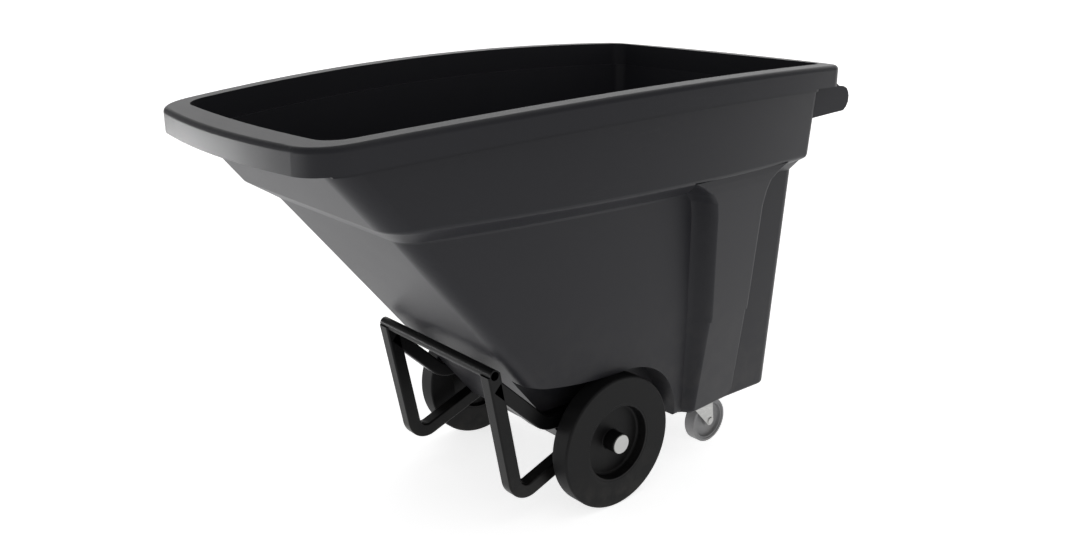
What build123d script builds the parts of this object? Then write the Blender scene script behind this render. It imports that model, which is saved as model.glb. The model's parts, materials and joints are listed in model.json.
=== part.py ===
import math
import os

from build123d import *

os.makedirs("parts", exist_ok=True)

# Millimetres. +Z is up with the ground at Z = 0, the dumping nose points to -Y, and the cart is
# centred on X and Y. "Left" is the +X side.

# ---- tub: driving sizes ----
side_bow = 3420  # plan radius of the long sides
belly_y = 73  # where the sides are widest
wall = 6
slope_wall = 7.8  # horizontal thickness of the 6 mm wall on the sloping front
crown_height = 944  # highest point of the rim
crown_y = 268
crown_radius = 8930

floor_z = 136  # underside of the tub
shoulder_low = 692
shoulder_high = 728
trim_height = 960
end_bow = 6000  # plan radius of the rear wall

rim_half_width = 410
rim_nose = -714
rim_tail = 644
rim_nose_bow = 1920
rim_tail_bow = 2000
skirt_depth = 47
rim_gauge = 5
lip_half_width = 366
lip_nose = -658
lip_tail = 597
lip_nose_bow = 3000
ledge_depth = 55  # inner ledge below the lip
collar_depth = 61  # thickened neck hidden behind the skirt

well_inner = 175.7  # |X| of the wheel well's inner wall
axle_y = 28
axle_z = 152.4

# ---- running gear: driving sizes ----
wheel_radius = 152.4
tyre_inner = 227
tyre_outer = 274
axle_radius = 9.525
hub_radius = 23
tube = 32  # square frame tube
tube_wall = 2.5
frame_x = 192  # centre plane of each side frame
crossbar_y = -259
crossbar_z = 367
crossbar_radius = 12.5
frame_mid = 176  # |X| of the swivel axes
swivel_y = 389.6
caster_y = 424.6
caster_radius = 57
plate_gauge = 3.5
bolt_radius = 4
nut_flats = 13
nut_height = 6.4
washer_gauge = 1.6
sides = {"left": 1, "right": -1}


def finish(part, name):
    """Name a finished piece and write it out."""
    part.label = name
    export_step(part, f"parts/{name}.step")


def side_at(half_width, y):
    """Half width of a bowed side at station y."""
    return half_width - (y - belly_y) ** 2 / (2 * side_bow)


def corner_point(half_width, end_y, bow):
    """Where a bowed end crosses a bowed side."""
    y = end_y
    for _ in range(10):
        x = side_at(half_width, y)
        y = end_y - x * x / (2 * bow)
    return x, y


def plan_outline(
    height, half_width, nose, tail, nose_corner, tail_corner, nose_bow=math.inf, tail_bow=end_bow
):
    """Horizontal outline of the tub: bowed sides, straight or bowed ends, rounded corners."""
    nose_x, nose_y = corner_point(half_width, nose, -nose_bow)
    tail_x, tail_y = corner_point(half_width, tail, tail_bow)
    with BuildSketch(Plane.XY.offset(height)) as outline:
        with BuildLine():
            if math.isinf(nose_bow):
                Line((-nose_x, nose_y), (nose_x, nose_y))
            else:
                ThreePointArc((-nose_x, nose_y), (0, nose), (nose_x, nose_y))
            ThreePointArc((nose_x, nose_y), (half_width, belly_y), (tail_x, tail_y))
            ThreePointArc((tail_x, tail_y), (0, tail), (-tail_x, tail_y))
            ThreePointArc((-tail_x, tail_y), (-half_width, belly_y), (-nose_x, nose_y))
        make_face()
        fillet(outline.vertices().group_by(Axis.Y)[0], nose_corner)
        fillet(outline.vertices().group_by(Axis.Y)[-1], tail_corner)
    return outline.sketch


def crown(y, drop=0):
    """Point on the crowned rim line, or on a line parallel to it further down."""
    return (y, crown_height - drop - (y - crown_y) ** 2 / (2 * crown_radius))


def crown_slab(upper_drop, lower_drop):
    """Everything between two lines parallel to the crowned rim."""
    with BuildPart() as slab:
        with BuildSketch(Plane.YZ):
            with BuildLine():
                ThreePointArc(crown(-760, upper_drop), crown(0, upper_drop), crown(760, upper_drop))
                Line(crown(760, upper_drop), crown(760, lower_drop))
                ThreePointArc(crown(760, lower_drop), crown(0, lower_drop), crown(-760, lower_drop))
                Line(crown(-760, lower_drop), crown(-760, upper_drop))
            make_face()
        extrude(amount=460, both=True)
    return slab.part


def lower_nose(z):
    """Front slope of the lower body."""
    return -494.4 + (697.4 - z) / 1.222


def band_nose(z):
    """Front slope of the upper band."""
    return -546.3 - (z - 728.9) / 1.2


def body_sections(gauge, slope_gauge, foot, low, high):
    """Outlines of the main shell from the floor to above the rim."""
    lower = 236 + (foot - floor_z) * 60 / 556
    waist = 236 + (low - floor_z) * 60 / 556
    hip = 358 + (high - shoulder_high) * 11.4 / 232
    hip_tail = 591 + (high - shoulder_high) * 16 / 232
    inset = slope_gauge
    small = 45 - gauge
    large = 60 - gauge
    back = 32 - gauge
    return [
        plan_outline(foot, lower - gauge, lower_nose(foot) + inset, 584 - gauge, small, back),
        plan_outline(low, waist - gauge, lower_nose(low) + inset, 584 - gauge, small, back),
        plan_outline(high, hip - gauge, band_nose(high) + inset, hip_tail - gauge, large, back),
        plan_outline(trim_height, 369.4 - gauge, band_nose(trim_height) + inset, 607 - gauge, large, back),
    ]


def post_section(height, half_width, gauge):
    """Straight-sided rear end of the lower body, behind the columns."""
    tail = 579.5 - gauge
    with BuildSketch(Plane.XY.offset(height)) as section:
        with Locations((0, (400 + tail) / 2)):
            Rectangle(2 * (half_width - gauge), tail - 400)
        fillet(section.vertices().group_by(Axis.Y)[-1], 32 - gauge)
    return section.sketch


def rear_post(gauge, foot, rounding):
    """Rear end of the lower body with its bottom edge rounded."""
    with BuildPart() as post:
        stations = [post_section(z, x, gauge) for z, x in ((foot, 242), (692, 282), (716, 306))]
        loft(sections=stations, ruled=True)
        fillet(post.edges().group_by(Axis.Z)[0], rounding)
    return post.part


def column_section(height, root, front, rear, gauge, step):
    """Plan of one side column: face flush with the band, front side swept smoothly into the body."""
    face = 264 + (height - floor_z) * 94 / 592 - gauge - step
    body = 233 + (height - floor_z) * 60 / 556 - gauge
    start = (side_at(body, root), root + gauge)
    end = (side_at(face, front), front + gauge)
    ease = 0.42 * (end[1] - start[1])
    with BuildSketch(Plane.XY.offset(height)) as section:
        with BuildLine():
            Line((120, start[1]), start)
            Bezier(start, (start[0], start[1] + ease), (end[0], end[1] - ease), end)
            Line(end, (side_at(face, rear), rear - gauge))
            Line((side_at(face, rear), rear - gauge), (120, rear - gauge))
            Line((120, rear - gauge), (120, start[1]))
        make_face()
        fillet(section.vertices().sort_by_distance(Vector(side_at(face, rear), rear - gauge, 0))[0], 10)
    return section.sketch


# Column stations: height, root of the front sweep, front edge, rear edge.
column_stations = [
    (136, 272, 297, 448),
    (390, 246, 294, 437),
    (639, 214, 246, 415),
    (672, 204, 236, 420),
    (696, 182, 216, 430),
    (714, 150, 186, 458),
    (727, 120, 156, 490),
]
column_step_z = 376


def between(low, high, height):
    """Column station part-way between two others."""
    share = (height - low[0]) / (high[0] - low[0])
    return (height, *(a + (b - a) * share for a, b in zip(low[1:], high[1:])))


def column(gauge, foot):
    """Both side columns, split by the small step in their faces."""
    start = between(*column_stations[:2], foot)
    edge = between(*column_stations[:2], foot + 6)
    split = between(*column_stations[:2], column_step_z)
    with BuildPart() as pair:
        lower = [column_section(*start, gauge, 9)]
        lower += [column_section(*station, gauge, 4) for station in (edge, split)]
        loft(sections=lower, ruled=True)
        loft(sections=[column_section(*s, gauge, 0) for s in (split, *column_stations[1:])], ruled=True)
        mirror(about=Plane.YZ)
    return pair.part


with BuildPart() as shell_solid:
    loft(sections=body_sections(0, 0, floor_z, shoulder_low, shoulder_high), ruled=True)
    for level, radius in ((shoulder_high, 12), (shoulder_low, 10), (floor_z, 9)):
        fillet(shell_solid.edges().filter_by_position(Axis.Z, level - 1, level + 1), radius)
    add(rear_post(0, floor_z, 9))
    add(column(0, floor_z))
    add(crown_slab(2, 1000), mode=Mode.INTERSECT)

with BuildPart() as rim_blank:
    add(
        plan_outline(780, rim_half_width, rim_nose, rim_tail, 95, 45, rim_nose_bow, rim_tail_bow)
    )
    extrude(amount=200)
    add(crown_slab(0, skirt_depth), mode=Mode.INTERSECT)
    fillet(rim_blank.faces().filter_by(lambda f: f.center().Z > 900).sort_by(SortBy.AREA)[-1].edges(), 10)


def rim_opening(height, depth, growth):
    """Prism of the tub's mouth, grown outwards by the given amount."""
    with BuildPart() as mouth:
        add(
            plan_outline(
                height,
                lip_half_width + growth,
                lip_nose - growth,
                lip_tail + growth,
                62 + growth,
                34 + growth,
                nose_bow=lip_nose_bow,
            )
        )
        extrude(amount=depth)
    return mouth.part


with BuildPart() as rim_channel:
    add(
        plan_outline(
            780,
            rim_half_width - rim_gauge,
            rim_nose + rim_gauge,
            rim_tail - rim_gauge,
            95 - rim_gauge,
            45 - rim_gauge,
            nose_bow=rim_nose_bow,
            tail_bow=rim_tail_bow,
        )
    )
    extrude(amount=200)
    add(crown_slab(rim_gauge, skirt_depth + 20), mode=Mode.INTERSECT)
    add(rim_opening(700, 300, wall), mode=Mode.SUBTRACT)

with BuildPart() as cavity:
    inner_sections = body_sections(wall, slope_wall, floor_z + wall, shoulder_low + 3.5, shoulder_high + 3.5)
    loft(sections=inner_sections, ruled=True)
    add(rear_post(wall, floor_z + wall, 4))
    add(column(wall, floor_z + wall))
    add(crown_slab(ledge_depth, 1000), mode=Mode.INTERSECT)



def behind_slope(shift):
    """Space behind the front slope of the band."""
    with BuildPart() as space:
        with BuildSketch(Plane.YZ):
            with BuildLine():
                Polyline(
                    (band_nose(760) + shift, 760),
                    (band_nose(1000) + shift, 1000),
                    (760, 1000),
                    (760, 760),
                    close=True,
                )
            make_face()
        extrude(amount=460, both=True)
    return space.part


with BuildPart() as mouth_space:
    add(rim_opening(760, 240, 0))
    add(crown_slab(-20, ledge_depth + 0.01), mode=Mode.INTERSECT)
    add(behind_slope(5.8), mode=Mode.INTERSECT)

with BuildPart() as collar:
    add(rim_opening(760, 240, wall))
    add(crown_slab(2, collar_depth), mode=Mode.INTERSECT)
    add(behind_slope(0), mode=Mode.INTERSECT)


def wells(growth):
    """Both wheel wells, open to the outside."""
    with BuildPart() as pair:
        for sign in (1, -1):
            with BuildSketch(Plane.YZ.offset(sign * (well_inner - growth))):
                with BuildLine():
                    Line((-420, 100), (-420, 378))
                    Line((-420, 378), (-191, 327))
                    ThreePointArc((-191, 327), (-80, 310.5), (65, 306))
                    ThreePointArc((65, 306), (199.5, 254.5), (251, 130))
                    Line((251, 130), (251, 100))
                    Line((251, 100), (-420, 100))
                make_face()
                if growth:
                    offset(amount=growth)
            extrude(amount=sign * 240)
    return pair.part


def axle_tunnel(growth):
    """Arched channel across the underside for the axle."""
    with BuildPart() as tunnel:
        with BuildSketch(Plane.YZ):
            with Locations((axle_y, axle_z)):
                Circle(25.6 + growth)
            with Locations((axle_y, axle_z - 30)):
                Rectangle(2 * (25.6 + growth), 60)
        extrude(amount=well_inner + 4, both=True)
    return tunnel.part


# ---- fastener stations ----
caster_holes = [(x, y) for x in (-30, 30) for y in (-25, 25)]
frame_hole_y = (-40, 120)
rail_z = 217


def bores(radius, span):
    """Vertical clearance holes for the caster plates."""
    with BuildPart() as holes:
        with BuildSketch(Plane.XY.offset(span[0])):
            for sign in sides.values():
                with Locations(*[(sign * frame_mid + x, swivel_y + y) for x, y in caster_holes]):
                    Circle(radius)
        extrude(amount=span[1] - span[0])
    return holes.part


def cross_bores(radius, start, end):
    """Sideways clearance holes for the frame bolts, on both sides of the cart."""
    with BuildPart() as holes:
        for sign in sides.values():
            with BuildSketch(Plane.YZ.offset(sign * start)):
                with Locations(*[(y, rail_z) for y in frame_hole_y]):
                    Circle(radius)
            extrude(amount=sign * (end - start))
    return holes.part


with BuildPart() as tub:
    add(rim_blank.part)
    add(rim_channel.part, mode=Mode.SUBTRACT)
    add(shell_solid.part)
    add(collar.part)
    add(cavity.part - wells(wall) - axle_tunnel(wall), mode=Mode.SUBTRACT)
    add(mouth_space.part, mode=Mode.SUBTRACT)
    add(wells(0), mode=Mode.SUBTRACT)
    add(axle_tunnel(0), mode=Mode.SUBTRACT)
    add(bores(bolt_radius + 0.3, (120, 160)), mode=Mode.SUBTRACT)
    add(cross_bores(bolt_radius + 0.3, 150, 200), mode=Mode.SUBTRACT)

finish(tub.part, "tub")

# ---- push handle moulded onto the rear of the rim ----
handle_half = 320
cheek = 36
with BuildPart() as push_handle:
    with BuildSketch(Plane.YZ.offset(-handle_half)) as cheek_side:
        with BuildLine():
            Polyline(
                (560, 815), (573.5, 815), (657, 820), (696, 822), (706.4, 830), (713, 841), (713.7, 854.7)
            )
            Polyline((713.7, 854.7), (710.5, 864.7), (703, 874), (691, 879), (672.6, 881.4), (644, 900))
            Polyline((644, 900), (620, 912), (560, 912), (560, 815))
        make_face()
    extrude(amount=cheek)
    with BuildSketch(Plane.YZ.offset(-handle_half + cheek)) as grip_side:
        with BuildLine():
            Polyline((669, 821), (696, 822), (706.4, 830), (713, 841), (713.7, 854.7))
            Polyline((713.7, 854.7), (710.5, 864.7), (703, 874), (691, 879), (676, 880.4))
            Polyline((676, 880.4), (667, 874), (663, 852), (664, 828), (669, 821))
        make_face()
    extrude(amount=handle_half - cheek)
    mirror(about=Plane.YZ)
    add(shell_solid.part, mode=Mode.SUBTRACT)
    add(rim_blank.part - rim_channel.part, mode=Mode.SUBTRACT)
    add(collar.part, mode=Mode.SUBTRACT)

finish(push_handle.part, "push_handle")

# ---- side frames: square tube legs, round crossbar, side rails ----
foot_y = -199
foot_z = 65
leg_points = [(crossbar_y, crossbar_z), (foot_y, foot_z), (44.8, 158.9)]
rail_points = [(-252, 338), (-123, rail_z), (146, rail_z)]


def swept_bar(points, bend, x, hollow):
    """Square bar or tube bent in the vertical plane at station x."""
    with BuildPart() as member:
        with BuildLine(Plane.YZ.offset(x)) as path:
            FilletPolyline(*points, radius=bend)
        with BuildSketch(Plane(origin=path.line @ 0, x_dir=(1, 0, 0), z_dir=path.line % 0)):
            RectangleRounded(tube, tube, 4)
            if hollow:
                inside = tube - 2 * tube_wall
                RectangleRounded(inside, inside, 2, mode=Mode.SUBTRACT)
        sweep(path=path.wire())
    return member.part


def round_bar(radius, start, end, y, z):
    """Round bar along X."""
    with BuildPart() as bar:
        with BuildSketch(Plane.YZ.offset(start)):
            with Locations((y, z)):
                Circle(radius)
        extrude(amount=end - start)
    return bar.part


crossbar_end = frame_x + tube / 2
with BuildPart() as frame_crossbar:
    add(round_bar(crossbar_radius, -crossbar_end, crossbar_end, crossbar_y, crossbar_z))
    hollow = round_bar(crossbar_radius - 2.5, -crossbar_end, crossbar_end, crossbar_y, crossbar_z)
    add(hollow, mode=Mode.SUBTRACT)

finish(frame_crossbar.part, "frame_crossbar")

crossbar_envelope = round_bar(crossbar_radius, -crossbar_end, crossbar_end, crossbar_y, crossbar_z)
axle_hole = round_bar(axle_radius + 0.08, -300, 300, axle_y, axle_z)
for side, sign in sides.items():
    with BuildPart() as leg:
        add(swept_bar(leg_points, 36, sign * frame_x, True))
        add(crossbar_envelope, mode=Mode.SUBTRACT)
        add(axle_hole, mode=Mode.SUBTRACT)
    finish(leg.part, f"{side}_leg")

    with BuildPart() as side_rail:
        add(swept_bar(rail_points, 60, sign * frame_x, True))
        add(swept_bar(leg_points, 36, sign * frame_x, False), mode=Mode.SUBTRACT)
        add(crossbar_envelope, mode=Mode.SUBTRACT)
        add(cross_bores(bolt_radius + 0.3, 150, 220), mode=Mode.SUBTRACT)
    finish(side_rail.part.solids().sort_by(SortBy.VOLUME)[-1], f"{side}_side_rail")

    with BuildPart() as axle_plate:
        with BuildSketch(Plane.YZ.offset(sign * crossbar_end)):
            with BuildLine():
                Polyline((-22, 231), (78, 231), (53.5, 152.4), (2.5, 152.4), close=True)
            make_face()
            with Locations((axle_y, axle_z)):
                Circle(26)
        extrude(amount=sign * 5)
        add(axle_hole, mode=Mode.SUBTRACT)
    finish(axle_plate.part, f"{side}_axle_plate")

axle_end = 281
with BuildPart() as axle:
    add(round_bar(axle_radius, -axle_end, axle_end, axle_y, axle_z))
    chamfer(axle.edges().filter_by(GeomType.CIRCLE), 0.8)

finish(axle.part, "axle")


# ---- main wheels ----
def turned(points, y, z, sign, rounds=()):
    """Ring turned about an X axis through (y, z) from (x, radius) points, optionally rounded."""
    with BuildPart() as ring:
        with BuildSketch(Plane(origin=(0, y, z), x_dir=(1, 0, 0), z_dir=(0, -1, 0))) as profile:
            with BuildLine():
                Polyline(*[(sign * x, r) for x, r in points], close=True)
            make_face()
            for x, r, size in rounds:
                corner = profile.vertices().sort_by_distance(Vector(sign * x, r, 0))[0]
                fillet(corner, size)
        revolve(axis=Axis((0, y, z), (1, 0, 0)))
    return ring.part


core_radius = 90
recess_radius = 84.9
web_outer = 248.5
web_inner = 240.5
hub_outer = 280.7
hub_inner = 224
bush_radius = 17.5
for side, sign in sides.items():
    tyre = turned(
        [(tyre_inner, 90), (tyre_outer, 90), (tyre_outer, wheel_radius), (tyre_inner, wheel_radius)],
        axle_y,
        axle_z,
        sign,
        [
            (tyre_inner, wheel_radius, 5),
            (tyre_outer, wheel_radius, 5),
            (tyre_inner, 90, 1),
            (tyre_outer, 90, 1),
        ],
    )
    finish(tyre, f"{side}_wheel_tyre")

    core = turned(
        [
            (hub_inner, bush_radius),
            (hub_outer, bush_radius),
            (hub_outer, hub_radius),
            (web_outer, hub_radius),
            (web_outer, recess_radius - 2),
            (tyre_outer - 0.4, recess_radius),
            (tyre_outer - 0.4, core_radius),
            (tyre_inner + 0.4, core_radius),
            (tyre_inner + 0.4, recess_radius),
            (web_inner, recess_radius - 2),
            (web_inner, hub_radius),
            (hub_inner, hub_radius),
        ],
        axle_y,
        axle_z,
        sign,
        [
            (hub_outer, hub_radius, 1.2),
            (web_outer, hub_radius, 2.5),
            (web_outer, recess_radius - 2, 6),
            (tyre_outer - 0.4, recess_radius, 1),
            (tyre_inner + 0.4, recess_radius, 1),
            (web_inner, recess_radius - 2, 5),
            (web_inner, hub_radius, 2.5),
        ],
    )
    finish(core, f"{side}_wheel_core")

    with BuildPart() as bushes:
        for start in (hub_inner, 259.5):
            sleeve = [
                (start, axle_radius + 0.08),
                (start + 12, axle_radius + 0.08),
                (start + 12, bush_radius),
                (start, bush_radius),
            ]
            add(turned(sleeve, axle_y, axle_z, sign))
    finish(bushes.part, f"{side}_wheel_bushes")

    spacer = [(213.3, axle_radius + 0.05), (223.7, axle_radius + 0.05), (223.7, 15), (213.3, 15)]
    finish(turned(spacer, axle_y, axle_z, sign), f"{side}_axle_spacer")

    cap = turned(
        [
            (axle_end + 3, 0),
            (axle_end + 3, 21.6),
            (axle_end, 21.6),
            (axle_end, 13),
            (272.2, 13),
            (272.2, axle_radius),
        ]
        + [(axle_end, axle_radius), (axle_end, 0)],
        axle_y,
        axle_z,
        sign,
        [(axle_end + 3, 21.6, 0.8)],
    )
    finish(cap, f"{side}_axle_cap")


# ---- swivel casters ----
plate_low = floor_z - plate_gauge
crown_top = 123
crown_gauge = 3
fork_half = 19.5
fork_gauge = 2.5
tread_half = 15.5
tread_inner = 49.4


def hexagons(plane, places, flats, height, hole):
    """Hexagonal nuts or heads standing on a plane."""
    with BuildPart() as nuts:
        with BuildSketch(plane):
            with Locations(*places):
                RegularPolygon(flats / 2, 6, major_radius=False)
                if hole:
                    Circle(hole, mode=Mode.SUBTRACT)
        extrude(amount=height)
        broad_faces = nuts.faces().filter_by(GeomType.PLANE).group_by(SortBy.AREA)[-1]
        chamfer(broad_faces.edges().filter_by(GeomType.LINE), 0.5)
    return nuts.part


def rings(plane, places, outer, inner, height):
    """Round washers or shanks standing on a plane."""
    with BuildPart() as washers:
        with BuildSketch(plane):
            with Locations(*places):
                Circle(outer)
                if inner:
                    Circle(inner, mode=Mode.SUBTRACT)
        extrude(amount=height)
    return washers.part


for side, sign in sides.items():
    middle = sign * frame_mid
    with BuildPart() as plate:
        with BuildSketch(Plane.XY.offset(plate_low)):
            with Locations((middle, swivel_y)):
                RectangleRounded(84, 76, 8)
                Circle(6, mode=Mode.SUBTRACT)
        extrude(amount=plate_gauge)
        add(bores(bolt_radius + 0.3, (120, 160)), mode=Mode.SUBTRACT)
    finish(plate.part, f"{side}_caster_plate")

    with BuildPart() as race:
        with BuildSketch(Plane(origin=(middle, swivel_y, 0), x_dir=(1, 0, 0), z_dir=(0, -1, 0))):
            with BuildLine():
                Polyline(
                    (6.4, plate_low),
                    (26, plate_low),
                    (26, 126.5),
                    (24, 126.5),
                    (24, 129.6),
                    (6.4, 129.6),
                    close=True,
                )
            make_face()
        revolve(axis=Axis((middle, swivel_y, 0), (0, 0, 1)))
    finish(race.part, f"{side}_caster_race")

    with BuildPart() as balls:
        with Locations((middle, swivel_y, crown_top + 3)):
            with PolarLocations(19, 12):
                Sphere(3)
    finish(balls.part, f"{side}_caster_balls")

    with BuildPart() as kingpin:
        with BuildSketch(Plane.XY.offset(116.4)):
            with Locations((middle, swivel_y)):
                Circle(9.5)
        extrude(amount=3.3)
        fillet(kingpin.edges().group_by(Axis.Z)[0], 1.5)
        with BuildSketch(Plane.XY.offset(119)):
            with Locations((middle, swivel_y)):
                Circle(5.98)
        extrude(amount=16.8)
    finish(kingpin.part, f"{side}_caster_kingpin")

    with BuildPart() as fork:
        with BuildSketch(Plane(origin=(middle, 0, 0), x_dir=(1, 0, 0), z_dir=(0, -1, 0))) as arch:
            with Locations((0, 70)):
                Rectangle(2 * fork_half, 2 * (crown_top - 70))
            fillet(arch.vertices().group_by(Axis.Y)[-1], 5)
            with BuildSketch(mode=Mode.SUBTRACT) as gap:
                with Locations((0, 70 - crown_gauge)):
                    Rectangle(2 * (fork_half - fork_gauge), 2 * (crown_top - 70))
                fillet(gap.vertices().group_by(Axis.Y)[-1], 2.5)
        extrude(amount=-460)
        with BuildSketch(Plane.YZ.offset(middle - 60)):
            with BuildLine():
                Polyline(
                    (swivel_y - 28, crown_top),
                    (swivel_y - 28, 108),
                    (caster_y - 10.6, 51.4),
                    (caster_y + 11.9, 55.4),
                    (caster_y + 4, crown_top),
                    close=True,
                )
            make_face()
            with Locations((caster_y, caster_radius)):
                Circle(12)
        extrude(amount=120, mode=Mode.INTERSECT)
        with BuildSketch(Plane.XY.offset(crown_top - crown_gauge)):
            with Locations((middle, swivel_y)):
                Circle(28)
        extrude(amount=crown_gauge)
        with Locations((middle, swivel_y, crown_top)):
            Hole(6.06, depth=10)
        add(round_bar(5.03, middle - 40, middle + 40, caster_y, caster_radius), mode=Mode.SUBTRACT)
    finish(fork.part, f"{side}_caster_fork")

    tread = turned(
        [(-tread_half, tread_inner), (tread_half, tread_inner), (tread_half, caster_radius)]
        + [(-tread_half, caster_radius)],
        caster_y,
        caster_radius,
        1,
        [(tread_half, caster_radius, 3), (-tread_half, caster_radius, 3)],
    ).moved(Location((middle, 0, 0)))
    finish(tread, f"{side}_caster_tread")

    core = turned(
        [(-15.5, 8.06), (15.5, 8.06), (15.5, 15), (5, 15), (5, 43), (13.5, 45), (13.5, tread_inner)]
        + [(-13.5, tread_inner), (-13.5, 45), (-5, 43), (-5, 15), (-15.5, 15)],
        caster_y,
        caster_radius,
        1,
        [(15.5, 15, 1), (-15.5, 15, 1), (5, 43, 3), (-5, 43, 3), (5, 15, 2), (-5, 15, 2)],
    ).moved(Location((middle, 0, 0)))
    finish(core, f"{side}_caster_core")

    sleeve = turned([(-16.8, 5.03), (16.8, 5.03), (16.8, 8), (-16.8, 8)], caster_y, caster_radius, 1)
    finish(sleeve.moved(Location((middle, 0, 0))), f"{side}_caster_sleeve")

    with BuildPart() as caster_axle:
        outside = frame_mid + fork_half
        inside = frame_mid - fork_half
        add(round_bar(5, sign * (inside - 9), sign * outside, caster_y, caster_radius))
        with BuildSketch(Plane.YZ.offset(sign * outside)):
            with Locations((caster_y, caster_radius)):
                Circle(8.5)
        extrude(amount=sign * 2.6)
        fillet(caster_axle.edges().filter_by(GeomType.CIRCLE).sort_by(Axis.X, reverse=sign > 0)[0], 1.6)
    finish(caster_axle.part, f"{side}_caster_axle")

    nut_plane = Plane(origin=(sign * inside, caster_y, caster_radius), x_dir=(0, 1, 0), z_dir=(-sign, 0, 0))
    finish(hexagons(nut_plane, [(0, 0)], 16, 7, 5), f"{side}_caster_axle_nut")

# ---- fasteners, one node per kind ----
caster_places = [(sign * frame_mid + x, swivel_y + y) for sign in sides.values() for x, y in caster_holes]
floor_top = floor_z + wall
with BuildPart() as caster_bolts:
    add(hexagons(Plane.XY.offset(floor_top + washer_gauge), caster_places, nut_flats, 5.3, 0))
    add(rings(Plane.XY.offset(124.6), caster_places, bolt_radius, 0, floor_top + washer_gauge - 124.6))

finish(caster_bolts.part, "caster_bolts")
finish(rings(Plane.XY.offset(floor_top), caster_places, 8, bolt_radius, washer_gauge), "caster_bolt_washers")
finish(
    hexagons(Plane.XY.offset(plate_low - nut_height), caster_places, nut_flats, nut_height, bolt_radius),
    "caster_nuts",
)

wall_face = well_inner - wall
with BuildPart() as frame_bolts:
    for sign in sides.values():
        outward = Plane(origin=(sign * crossbar_end, 0, 0), x_dir=(0, 1, 0), z_dir=(sign, 0, 0))
        places = [(y, sign * rail_z) for y in frame_hole_y]
        add(hexagons(outward, places, nut_flats, 5.3, 0))
        add(rings(outward, places, bolt_radius, 0, -(crossbar_end - wall_face + 10)))

finish(frame_bolts.part, "frame_bolts")

with BuildPart() as frame_washers:
    for sign in sides.values():
        inward = Plane(origin=(sign * wall_face, 0, 0), x_dir=(0, 1, 0), z_dir=(-sign, 0, 0))
        places = [(y, -sign * rail_z) for y in frame_hole_y]
        add(rings(inward, places, 8, bolt_radius, washer_gauge))

finish(frame_washers.part, "frame_washers")

with BuildPart() as frame_nuts:
    for sign in sides.values():
        inward = Plane(origin=(sign * (wall_face - washer_gauge), 0, 0), x_dir=(0, 1, 0), z_dir=(-sign, 0, 0))
        places = [(y, -sign * rail_z) for y in frame_hole_y]
        add(hexagons(inward, places, nut_flats, nut_height, bolt_radius))

finish(frame_nuts.part, "frame_nuts")
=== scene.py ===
import json
import math

import bpy
import numpy as np
from mathutils import Matrix, Vector

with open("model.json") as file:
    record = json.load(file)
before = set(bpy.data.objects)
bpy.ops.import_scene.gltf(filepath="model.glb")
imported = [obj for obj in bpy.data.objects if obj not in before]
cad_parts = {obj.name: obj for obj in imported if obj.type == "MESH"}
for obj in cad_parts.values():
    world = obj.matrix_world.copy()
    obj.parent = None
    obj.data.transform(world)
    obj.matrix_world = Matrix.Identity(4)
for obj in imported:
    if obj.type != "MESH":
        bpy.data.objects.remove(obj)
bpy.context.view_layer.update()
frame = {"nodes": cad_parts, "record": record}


nodes = frame["nodes"]
print("frame loaded:", len(nodes), "CAD nodes")


def newGroup(name, inputs, outputs):
    group = bpy.data.node_groups.new(name, "ShaderNodeTree")
    for label, kind, value in inputs:
        socket = group.interface.new_socket(label, in_out="INPUT", socket_type=kind)
        if value is not None:
            socket.default_value = value
    for label, kind in outputs:
        group.interface.new_socket(label, in_out="OUTPUT", socket_type=kind)
    return group, group.nodes.new("NodeGroupInput"), group.nodes.new("NodeGroupOutput")


def mathNode(tree, operation, a, b=None, clamp=False):
    node = tree.nodes.new("ShaderNodeMath")
    node.operation = operation
    node.use_clamp = clamp
    for socket, value in zip(node.inputs, (a, b)):
        if value is None:
            continue
        if isinstance(value, (int, float)):
            socket.default_value = value
        else:
            tree.links.new(value, socket)
    return node.outputs[0]


def noiseNode(tree, vector, scale, detail=2.0, rough=0.5, distort=0.0):
    node = tree.nodes.new("ShaderNodeTexNoise")
    node.inputs["Detail"].default_value = detail
    node.inputs["Roughness"].default_value = rough
    node.inputs["Distortion"].default_value = distort
    if isinstance(scale, (int, float)):
        node.inputs["Scale"].default_value = scale
    else:
        tree.links.new(scale, node.inputs["Scale"])
    tree.links.new(vector, node.inputs["Vector"])
    return node.outputs["Fac"]


def rampNode(tree, value, low, high):
    node = tree.nodes.new("ShaderNodeMapRange")
    node.interpolation_type = "SMOOTHSTEP"
    node.inputs["From Min"].default_value = low
    node.inputs["From Max"].default_value = high
    tree.links.new(value, node.inputs["Value"])
    return node.outputs["Result"]


def makeMouldGrain():
    # height = fine pebble noise plus a slow ripple, as a rotomoulded skin has
    group, given, out = newGroup(
        "mouldGrain",
        [("Vector", "NodeSocketVector", None), ("Pebble", "NodeSocketFloat", 900.0),
         ("Ripple", "NodeSocketFloat", 14.0), ("Ripple share", "NodeSocketFloat", 0.35)],
        [("Height", "NodeSocketFloat"), ("Slow", "NodeSocketFloat")],
    )
    fine = noiseNode(group, given.outputs["Vector"], given.outputs["Pebble"], 2.0, 0.55)
    slow = noiseNode(group, given.outputs["Vector"], given.outputs["Ripple"], 1.0, 0.4)
    part = mathNode(group, "MULTIPLY", slow, given.outputs["Ripple share"])
    group.links.new(mathNode(group, "ADD", fine, part), out.inputs["Height"])
    group.links.new(slow, out.inputs["Slow"])
    return group


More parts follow.
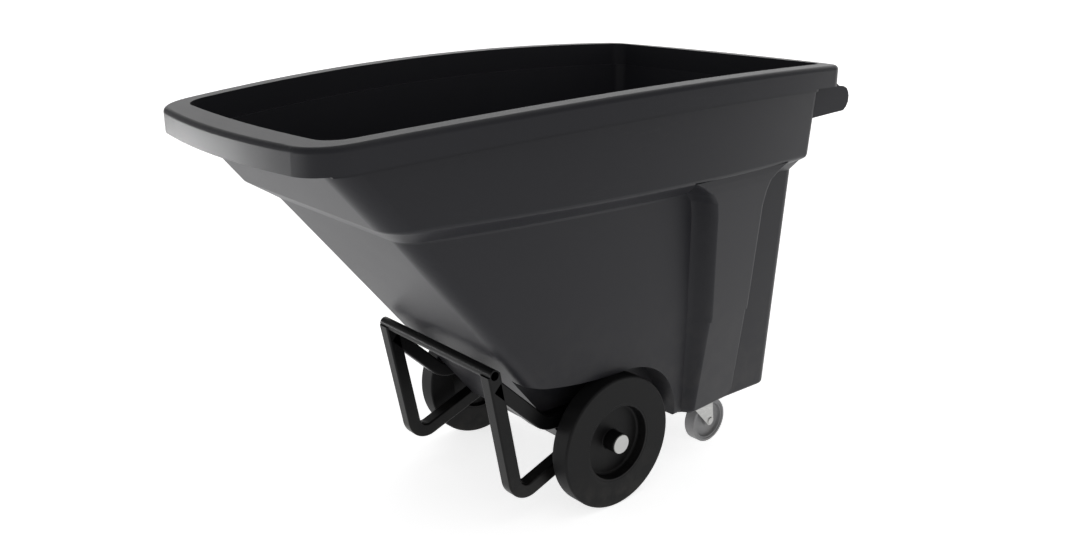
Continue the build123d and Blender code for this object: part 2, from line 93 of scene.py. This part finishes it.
def makeScuffs():
    # mask = thin bright lines where a stretched noise crosses its middle value, kept only in patches
    group, given, out = newGroup(
        "scuffs",
        [("Vector", "NodeSocketVector", None), ("Scale", "NodeSocketFloat", 30.0),
         ("Patch", "NodeSocketFloat", 3.0), ("Strength", "NodeSocketFloat", 0.5)],
        [("Mask", "NodeSocketFloat")],
    )
    stretch = group.nodes.new("ShaderNodeMapping")
    stretch.inputs["Scale"].default_value = (1.0, 0.22, 1.0)
    stretch.inputs["Rotation"].default_value = (0.35, 0.2, 0.5)
    group.links.new(given.outputs["Vector"], stretch.inputs["Vector"])
    lines = noiseNode(group, stretch.outputs["Vector"], given.outputs["Scale"], 5.0, 0.6, 0.8)
    away = mathNode(group, "ABSOLUTE", mathNode(group, "SUBTRACT", lines, 0.5))
    thin = mathNode(group, "SUBTRACT", 1.0, rampNode(group, away, 0.0, 0.012))
    patch = rampNode(group, noiseNode(group, given.outputs["Vector"], given.outputs["Patch"], 2.0), 0.5, 0.68)
    both = mathNode(group, "MULTIPLY", thin, patch)
    group.links.new(mathNode(group, "MULTIPLY", both, given.outputs["Strength"], True), out.inputs["Mask"])
    return group


def makeFloorDust():
    # mask = how near the ground a point is, broken up by a cloudy noise
    group, given, out = newGroup(
        "floorDust",
        [("Vector", "NodeSocketVector", None), ("Height", "NodeSocketFloat", 0.25),
         ("Strength", "NodeSocketFloat", 0.3)],
        [("Mask", "NodeSocketFloat")],
    )
    split = group.nodes.new("ShaderNodeSeparateXYZ")
    group.links.new(given.outputs["Vector"], split.inputs["Vector"])
    share = mathNode(group, "DIVIDE", split.outputs["Z"], given.outputs["Height"])
    low = mathNode(group, "SUBTRACT", 1.0, share, True)
    cloud = rampNode(group, noiseNode(group, given.outputs["Vector"], 22.0, 4.0, 0.6), 0.35, 0.7)
    both = mathNode(group, "MULTIPLY", low, cloud)
    group.links.new(mathNode(group, "MULTIPLY", both, given.outputs["Strength"], True), out.inputs["Mask"])
    return group


mouldGrain = makeMouldGrain()
scuffs = makeScuffs()
floorDust = makeFloorDust()
print("shared effects ready")


finishes = {
    "tubPlastic": dict(
        colour=(0.0155, 0.0155, 0.0185), lighter=1.1, roughness=0.38, spread=0.08, specular=0.19,
        pebble=820.0, ripple=9.0, bump=0.00022, scuff=0.10, dust=0.05, dustHeight=0.5,
    ),
    "wheelPlastic": dict(
        colour=(0.004, 0.004, 0.0043), lighter=1.15, roughness=0.44, spread=0.08, specular=0.14,
        pebble=1100.0, ripple=30.0, bump=0.00012, scuff=0.08, dust=0.03, dustHeight=0.2,
    ),
    "tyreRubber": dict(
        colour=(0.005, 0.005, 0.0053), lighter=1.2, roughness=0.55, spread=0.08, specular=0.16,
        pebble=1500.0, ripple=40.0, bump=0.00018, scuff=0.12, dust=0.05, dustHeight=0.12,
    ),
    "casterRubber": dict(
        colour=(0.21, 0.21, 0.215), lighter=1.12, roughness=0.6, spread=0.07, specular=0.4,
        pebble=1500.0, ripple=60.0, bump=0.00012, scuff=0.15, dust=0.2, dustHeight=0.1,
    ),
    "casterPlastic": dict(
        colour=(0.2, 0.2, 0.205), lighter=1.1, roughness=0.48, spread=0.06, specular=0.45,
        pebble=1200.0, ripple=60.0, bump=0.0001, scuff=0.15, dust=0.15, dustHeight=0.12,
    ),
    "bushNylon": dict(
        colour=(0.42, 0.42, 0.4), lighter=1.08, roughness=0.42, spread=0.05, specular=0.5,
        pebble=1500.0, ripple=80.0, bump=0.00008, scuff=0.1, dust=0.1, dustHeight=0.2,
    ),
    "framePaint": dict(
        colour=(0.0022, 0.0022, 0.0024), lighter=1.25, roughness=0.3, spread=0.1, specular=0.16,
        pebble=1300.0, ripple=160.0, bump=0.00014, scuff=0.15, dust=0.04, dustHeight=0.2,
    ),
    "platedSteel": dict(
        colour=(0.47, 0.47, 0.46), lighter=1.12, roughness=0.4, spread=0.14, specular=0.5,
        metal=0.75, pebble=700.0, ripple=90.0, bump=0.00006, scuff=0.35, dust=0.05, dustHeight=0.2,
    ),
    "fastenerSteel": dict(
        colour=(0.5, 0.49, 0.46), lighter=1.12, roughness=0.34, spread=0.14, specular=0.5,
        metal=0.85, pebble=900.0, ripple=200.0, bump=0.00005, scuff=0.4, dust=0.05, dustHeight=0.2,
    ),
    "pressedZinc": dict(
        colour=(0.46, 0.46, 0.45), lighter=1.15, roughness=0.42, spread=0.16, specular=0.5,
        metal=0.7, pebble=420.0, ripple=120.0, bump=0.00008, scuff=0.35, dust=0.08, dustHeight=0.1,
    ),
}

wear = dict(gain=1.7, lift=0.02, dustColour=(0.3, 0.27, 0.23), roughening=0.2, bumpStrength=0.55)


def placeGroup(tree, group, vector, **values):
    node = tree.nodes.new("ShaderNodeGroup")
    node.node_tree = group
    tree.links.new(vector, node.inputs["Vector"])
    for label, value in values.items():
        node.inputs[label.replace("_", " ")].default_value = value
    return node


def mixColour(tree, factor, a, b):
    node = tree.nodes.new("ShaderNodeMix")
    node.data_type = "RGBA"
    tree.links.new(factor, node.inputs[0])
    for socket, value in ((node.inputs[6], a), (node.inputs[7], b)):
        if isinstance(value, tuple):
            socket.default_value = (*value, 1.0)
        else:
            tree.links.new(value, socket)
    return node.outputs[2]


def makeMaterial(name, look):
    material = bpy.data.materials.new(name)
    material.use_nodes = True
    tree = material.node_tree
    shader = tree.nodes["Principled BSDF"]
    where = tree.nodes.new("ShaderNodeTexCoord").outputs["Object"]
    grain = placeGroup(tree, mouldGrain, where, Pebble=look["pebble"], Ripple=look["ripple"])
    marks = placeGroup(tree, scuffs, where, Strength=look["scuff"])
    dust = placeGroup(tree, floorDust, where, Height=look["dustHeight"], Strength=look["dust"])
    base = look["colour"]
    lifted = tuple(min(1.0, c * look["lighter"]) for c in base)
    colour = mixColour(tree, grain.outputs["Slow"], base, lifted)
    worn = tuple(min(1.0, c * wear["gain"] + wear["lift"]) for c in base)
    colour = mixColour(tree, marks.outputs["Mask"], colour, worn)
    colour = mixColour(tree, dust.outputs["Mask"], colour, wear["dustColour"])
    tree.links.new(colour, shader.inputs["Base Color"])
    wander = mathNode(tree, "MULTIPLY", grain.outputs["Height"], look["spread"])
    rough = mathNode(tree, "ADD", wander, look["roughness"] - look["spread"] * 0.55)
    scuffed = mathNode(tree, "MULTIPLY", marks.outputs["Mask"], wear["roughening"])
    rough = mathNode(tree, "ADD", rough, scuffed, True)
    tree.links.new(rough, shader.inputs["Roughness"])
    shader.inputs["Specular IOR Level"].default_value = look["specular"]
    shader.inputs["Metallic"].default_value = look.get("metal", 0.0)
    bump = tree.nodes.new("ShaderNodeBump")
    bump.inputs["Strength"].default_value = wear["bumpStrength"]
    bump.inputs["Distance"].default_value = look["bump"]
    tree.links.new(grain.outputs["Height"], bump.inputs["Height"])
    tree.links.new(bump.outputs["Normal"], shader.inputs["Normal"])
    return material


materials = {name: makeMaterial(name, look) for name, look in finishes.items()}

slotFinish = {
    "tub_plastic": "tubPlastic", "tyre_rubber": "tyreRubber", "wheel_plastic": "wheelPlastic",
    "bush_plastic": "bushNylon", "caster_rubber": "casterRubber", "caster_plastic": "casterPlastic",
    "frame_paint": "framePaint", "plated_steel": "platedSteel", "fastener_steel": "fastenerSteel",
    "zinc_steel": "pressedZinc",
}
for entry in frame["record"]["subparts"]:
    piece = nodes[entry["node"]]
    piece.data.materials.clear()
    piece.data.materials.append(materials[slotFinish[entry["material_slot"]]])
print("CAD nodes given their finishes")


studio = dict(halfWidth=9.0, frontY=-9.0, backY=7.0, sweepRadius=2.5, wallHeight=7.0, turned=40.0,
              paper=(0.8, 0.8, 0.8), glow=0.75, air=0.38)


def gridMesh(name, points, material):
    # faces join each point of a rows x columns grid to its neighbours
    rows, columns = points.shape[:2]
    index = np.arange(rows * columns).reshape(rows, columns)
    quads = np.stack([index[:-1, :-1], index[:-1, 1:], index[1:, 1:], index[1:, :-1]], -1).reshape(-1, 4)
    mesh = bpy.data.meshes.new(name)
    mesh.from_pydata(points.reshape(-1, 3).tolist(), [], quads.tolist())
    mesh.materials.append(material)
    mesh.polygons.foreach_set("use_smooth", np.ones(len(quads), bool))
    piece = bpy.data.objects.new(name, mesh)
    bpy.context.scene.collection.objects.link(piece)
    return piece


def makeFloor(look):
    # profile: flat run, then a quarter circle up into a wall; carried straight across X
    turn = np.linspace(0, math.pi / 2, 17)
    bendY = look["backY"] + look["sweepRadius"] * np.sin(turn)
    bendZ = look["sweepRadius"] * (1 - np.cos(turn))
    y = np.concatenate([[look["frontY"]], bendY, [bendY[-1]]])
    z = np.concatenate([[0.0], bendZ, [look["wallHeight"]]])
    x = np.linspace(-look["halfWidth"], look["halfWidth"], 3)
    flatX, flatY = np.meshgrid(x, y)
    angle = math.radians(look["turned"])  # the whole sheet turned about the vertical, worked into its points
    grid = np.stack([flatX * math.cos(angle) - flatY * math.sin(angle),
                     flatX * math.sin(angle) + flatY * math.cos(angle),
                     np.repeat(z[:, None], 3, 1)], -1)
    paper = bpy.data.materials.new("studioPaper")
    paper.use_nodes = True
    shader = paper.node_tree.nodes["Principled BSDF"]
    shader.inputs["Base Color"].default_value = (*look["paper"], 1.0)
    shader.inputs["Roughness"].default_value = 0.9
    shader.inputs["Specular IOR Level"].default_value = 0.1
    shader.inputs["Emission Color"].default_value = (1.0, 1.0, 1.0, 1.0)
    shader.inputs["Emission Strength"].default_value = look["glow"]
    return gridMesh("studioFloor", grid, paper)


floor = makeFloor(studio)

lamps = {
    "topSoftbox": dict(place=(0.2, 0.3, 3.6), aim=(0.0, 0.0, 0.6), size=(4.0, 3.4), watts=22.0),
    "cameraFill": dict(place=(3.6, -0.6, 2.0), aim=(0.2, 0.0, 0.5), size=(2.4, 2.0), watts=7.0),
    "lowFarSide": dict(place=(-2.6, -1.5, 0.22), aim=(0.1, -0.35, 0.55), size=(1.4, 0.4), watts=16.0),
    "noseFill": dict(place=(-1.0, -3.4, 0.5), aim=(0.0, -0.4, 0.5), size=(1.8, 0.8), watts=10.0),
}
for name, look in lamps.items():
    light = bpy.data.lights.new(name, "AREA")
    light.shape = "RECTANGLE"
    light.size, light.size_y = look["size"]
    light.energy = look["watts"]
    lamp = bpy.data.objects.new(name, light)
    lamp.location = look["place"]
    lamp.rotation_euler = (Vector(look["aim"]) - Vector(look["place"])).to_track_quat("-Z", "Y").to_euler()
    lamp.visible_camera = False
    bpy.context.scene.collection.objects.link(lamp)

world = bpy.data.worlds.new("studioAir")
world.use_nodes = True
world.node_tree.nodes["Background"].inputs["Color"].default_value = (1.0, 1.0, 1.0, 1.0)
world.node_tree.nodes["Background"].inputs["Strength"].default_value = studio["air"]
bpy.context.scene.world = world
bpy.context.scene.view_settings.view_transform = "Standard"
print("studio ready")

view = dict(place=(1.7652, -1.4400, 1.1976), right=(0.6406, 0.7679, 0.0), up=(-0.2314, 0.1930, 0.9535),
            back=(0.7322, -0.6108, 0.3013), lens=35.0, sensor=36.0)
lens = bpy.data.cameras.new("viewCamera")
lens.lens = view["lens"]
lens.sensor_width = view["sensor"]
lens.clip_end = 60.0
camera = bpy.data.objects.new("viewCamera", lens)
turn = Matrix((view["right"], view["up"], view["back"])).transposed().to_4x4()
camera.matrix_world = Matrix.Translation(view["place"]) @ turn
bpy.context.scene.collection.objects.link(camera)
bpy.context.scene.camera = camera
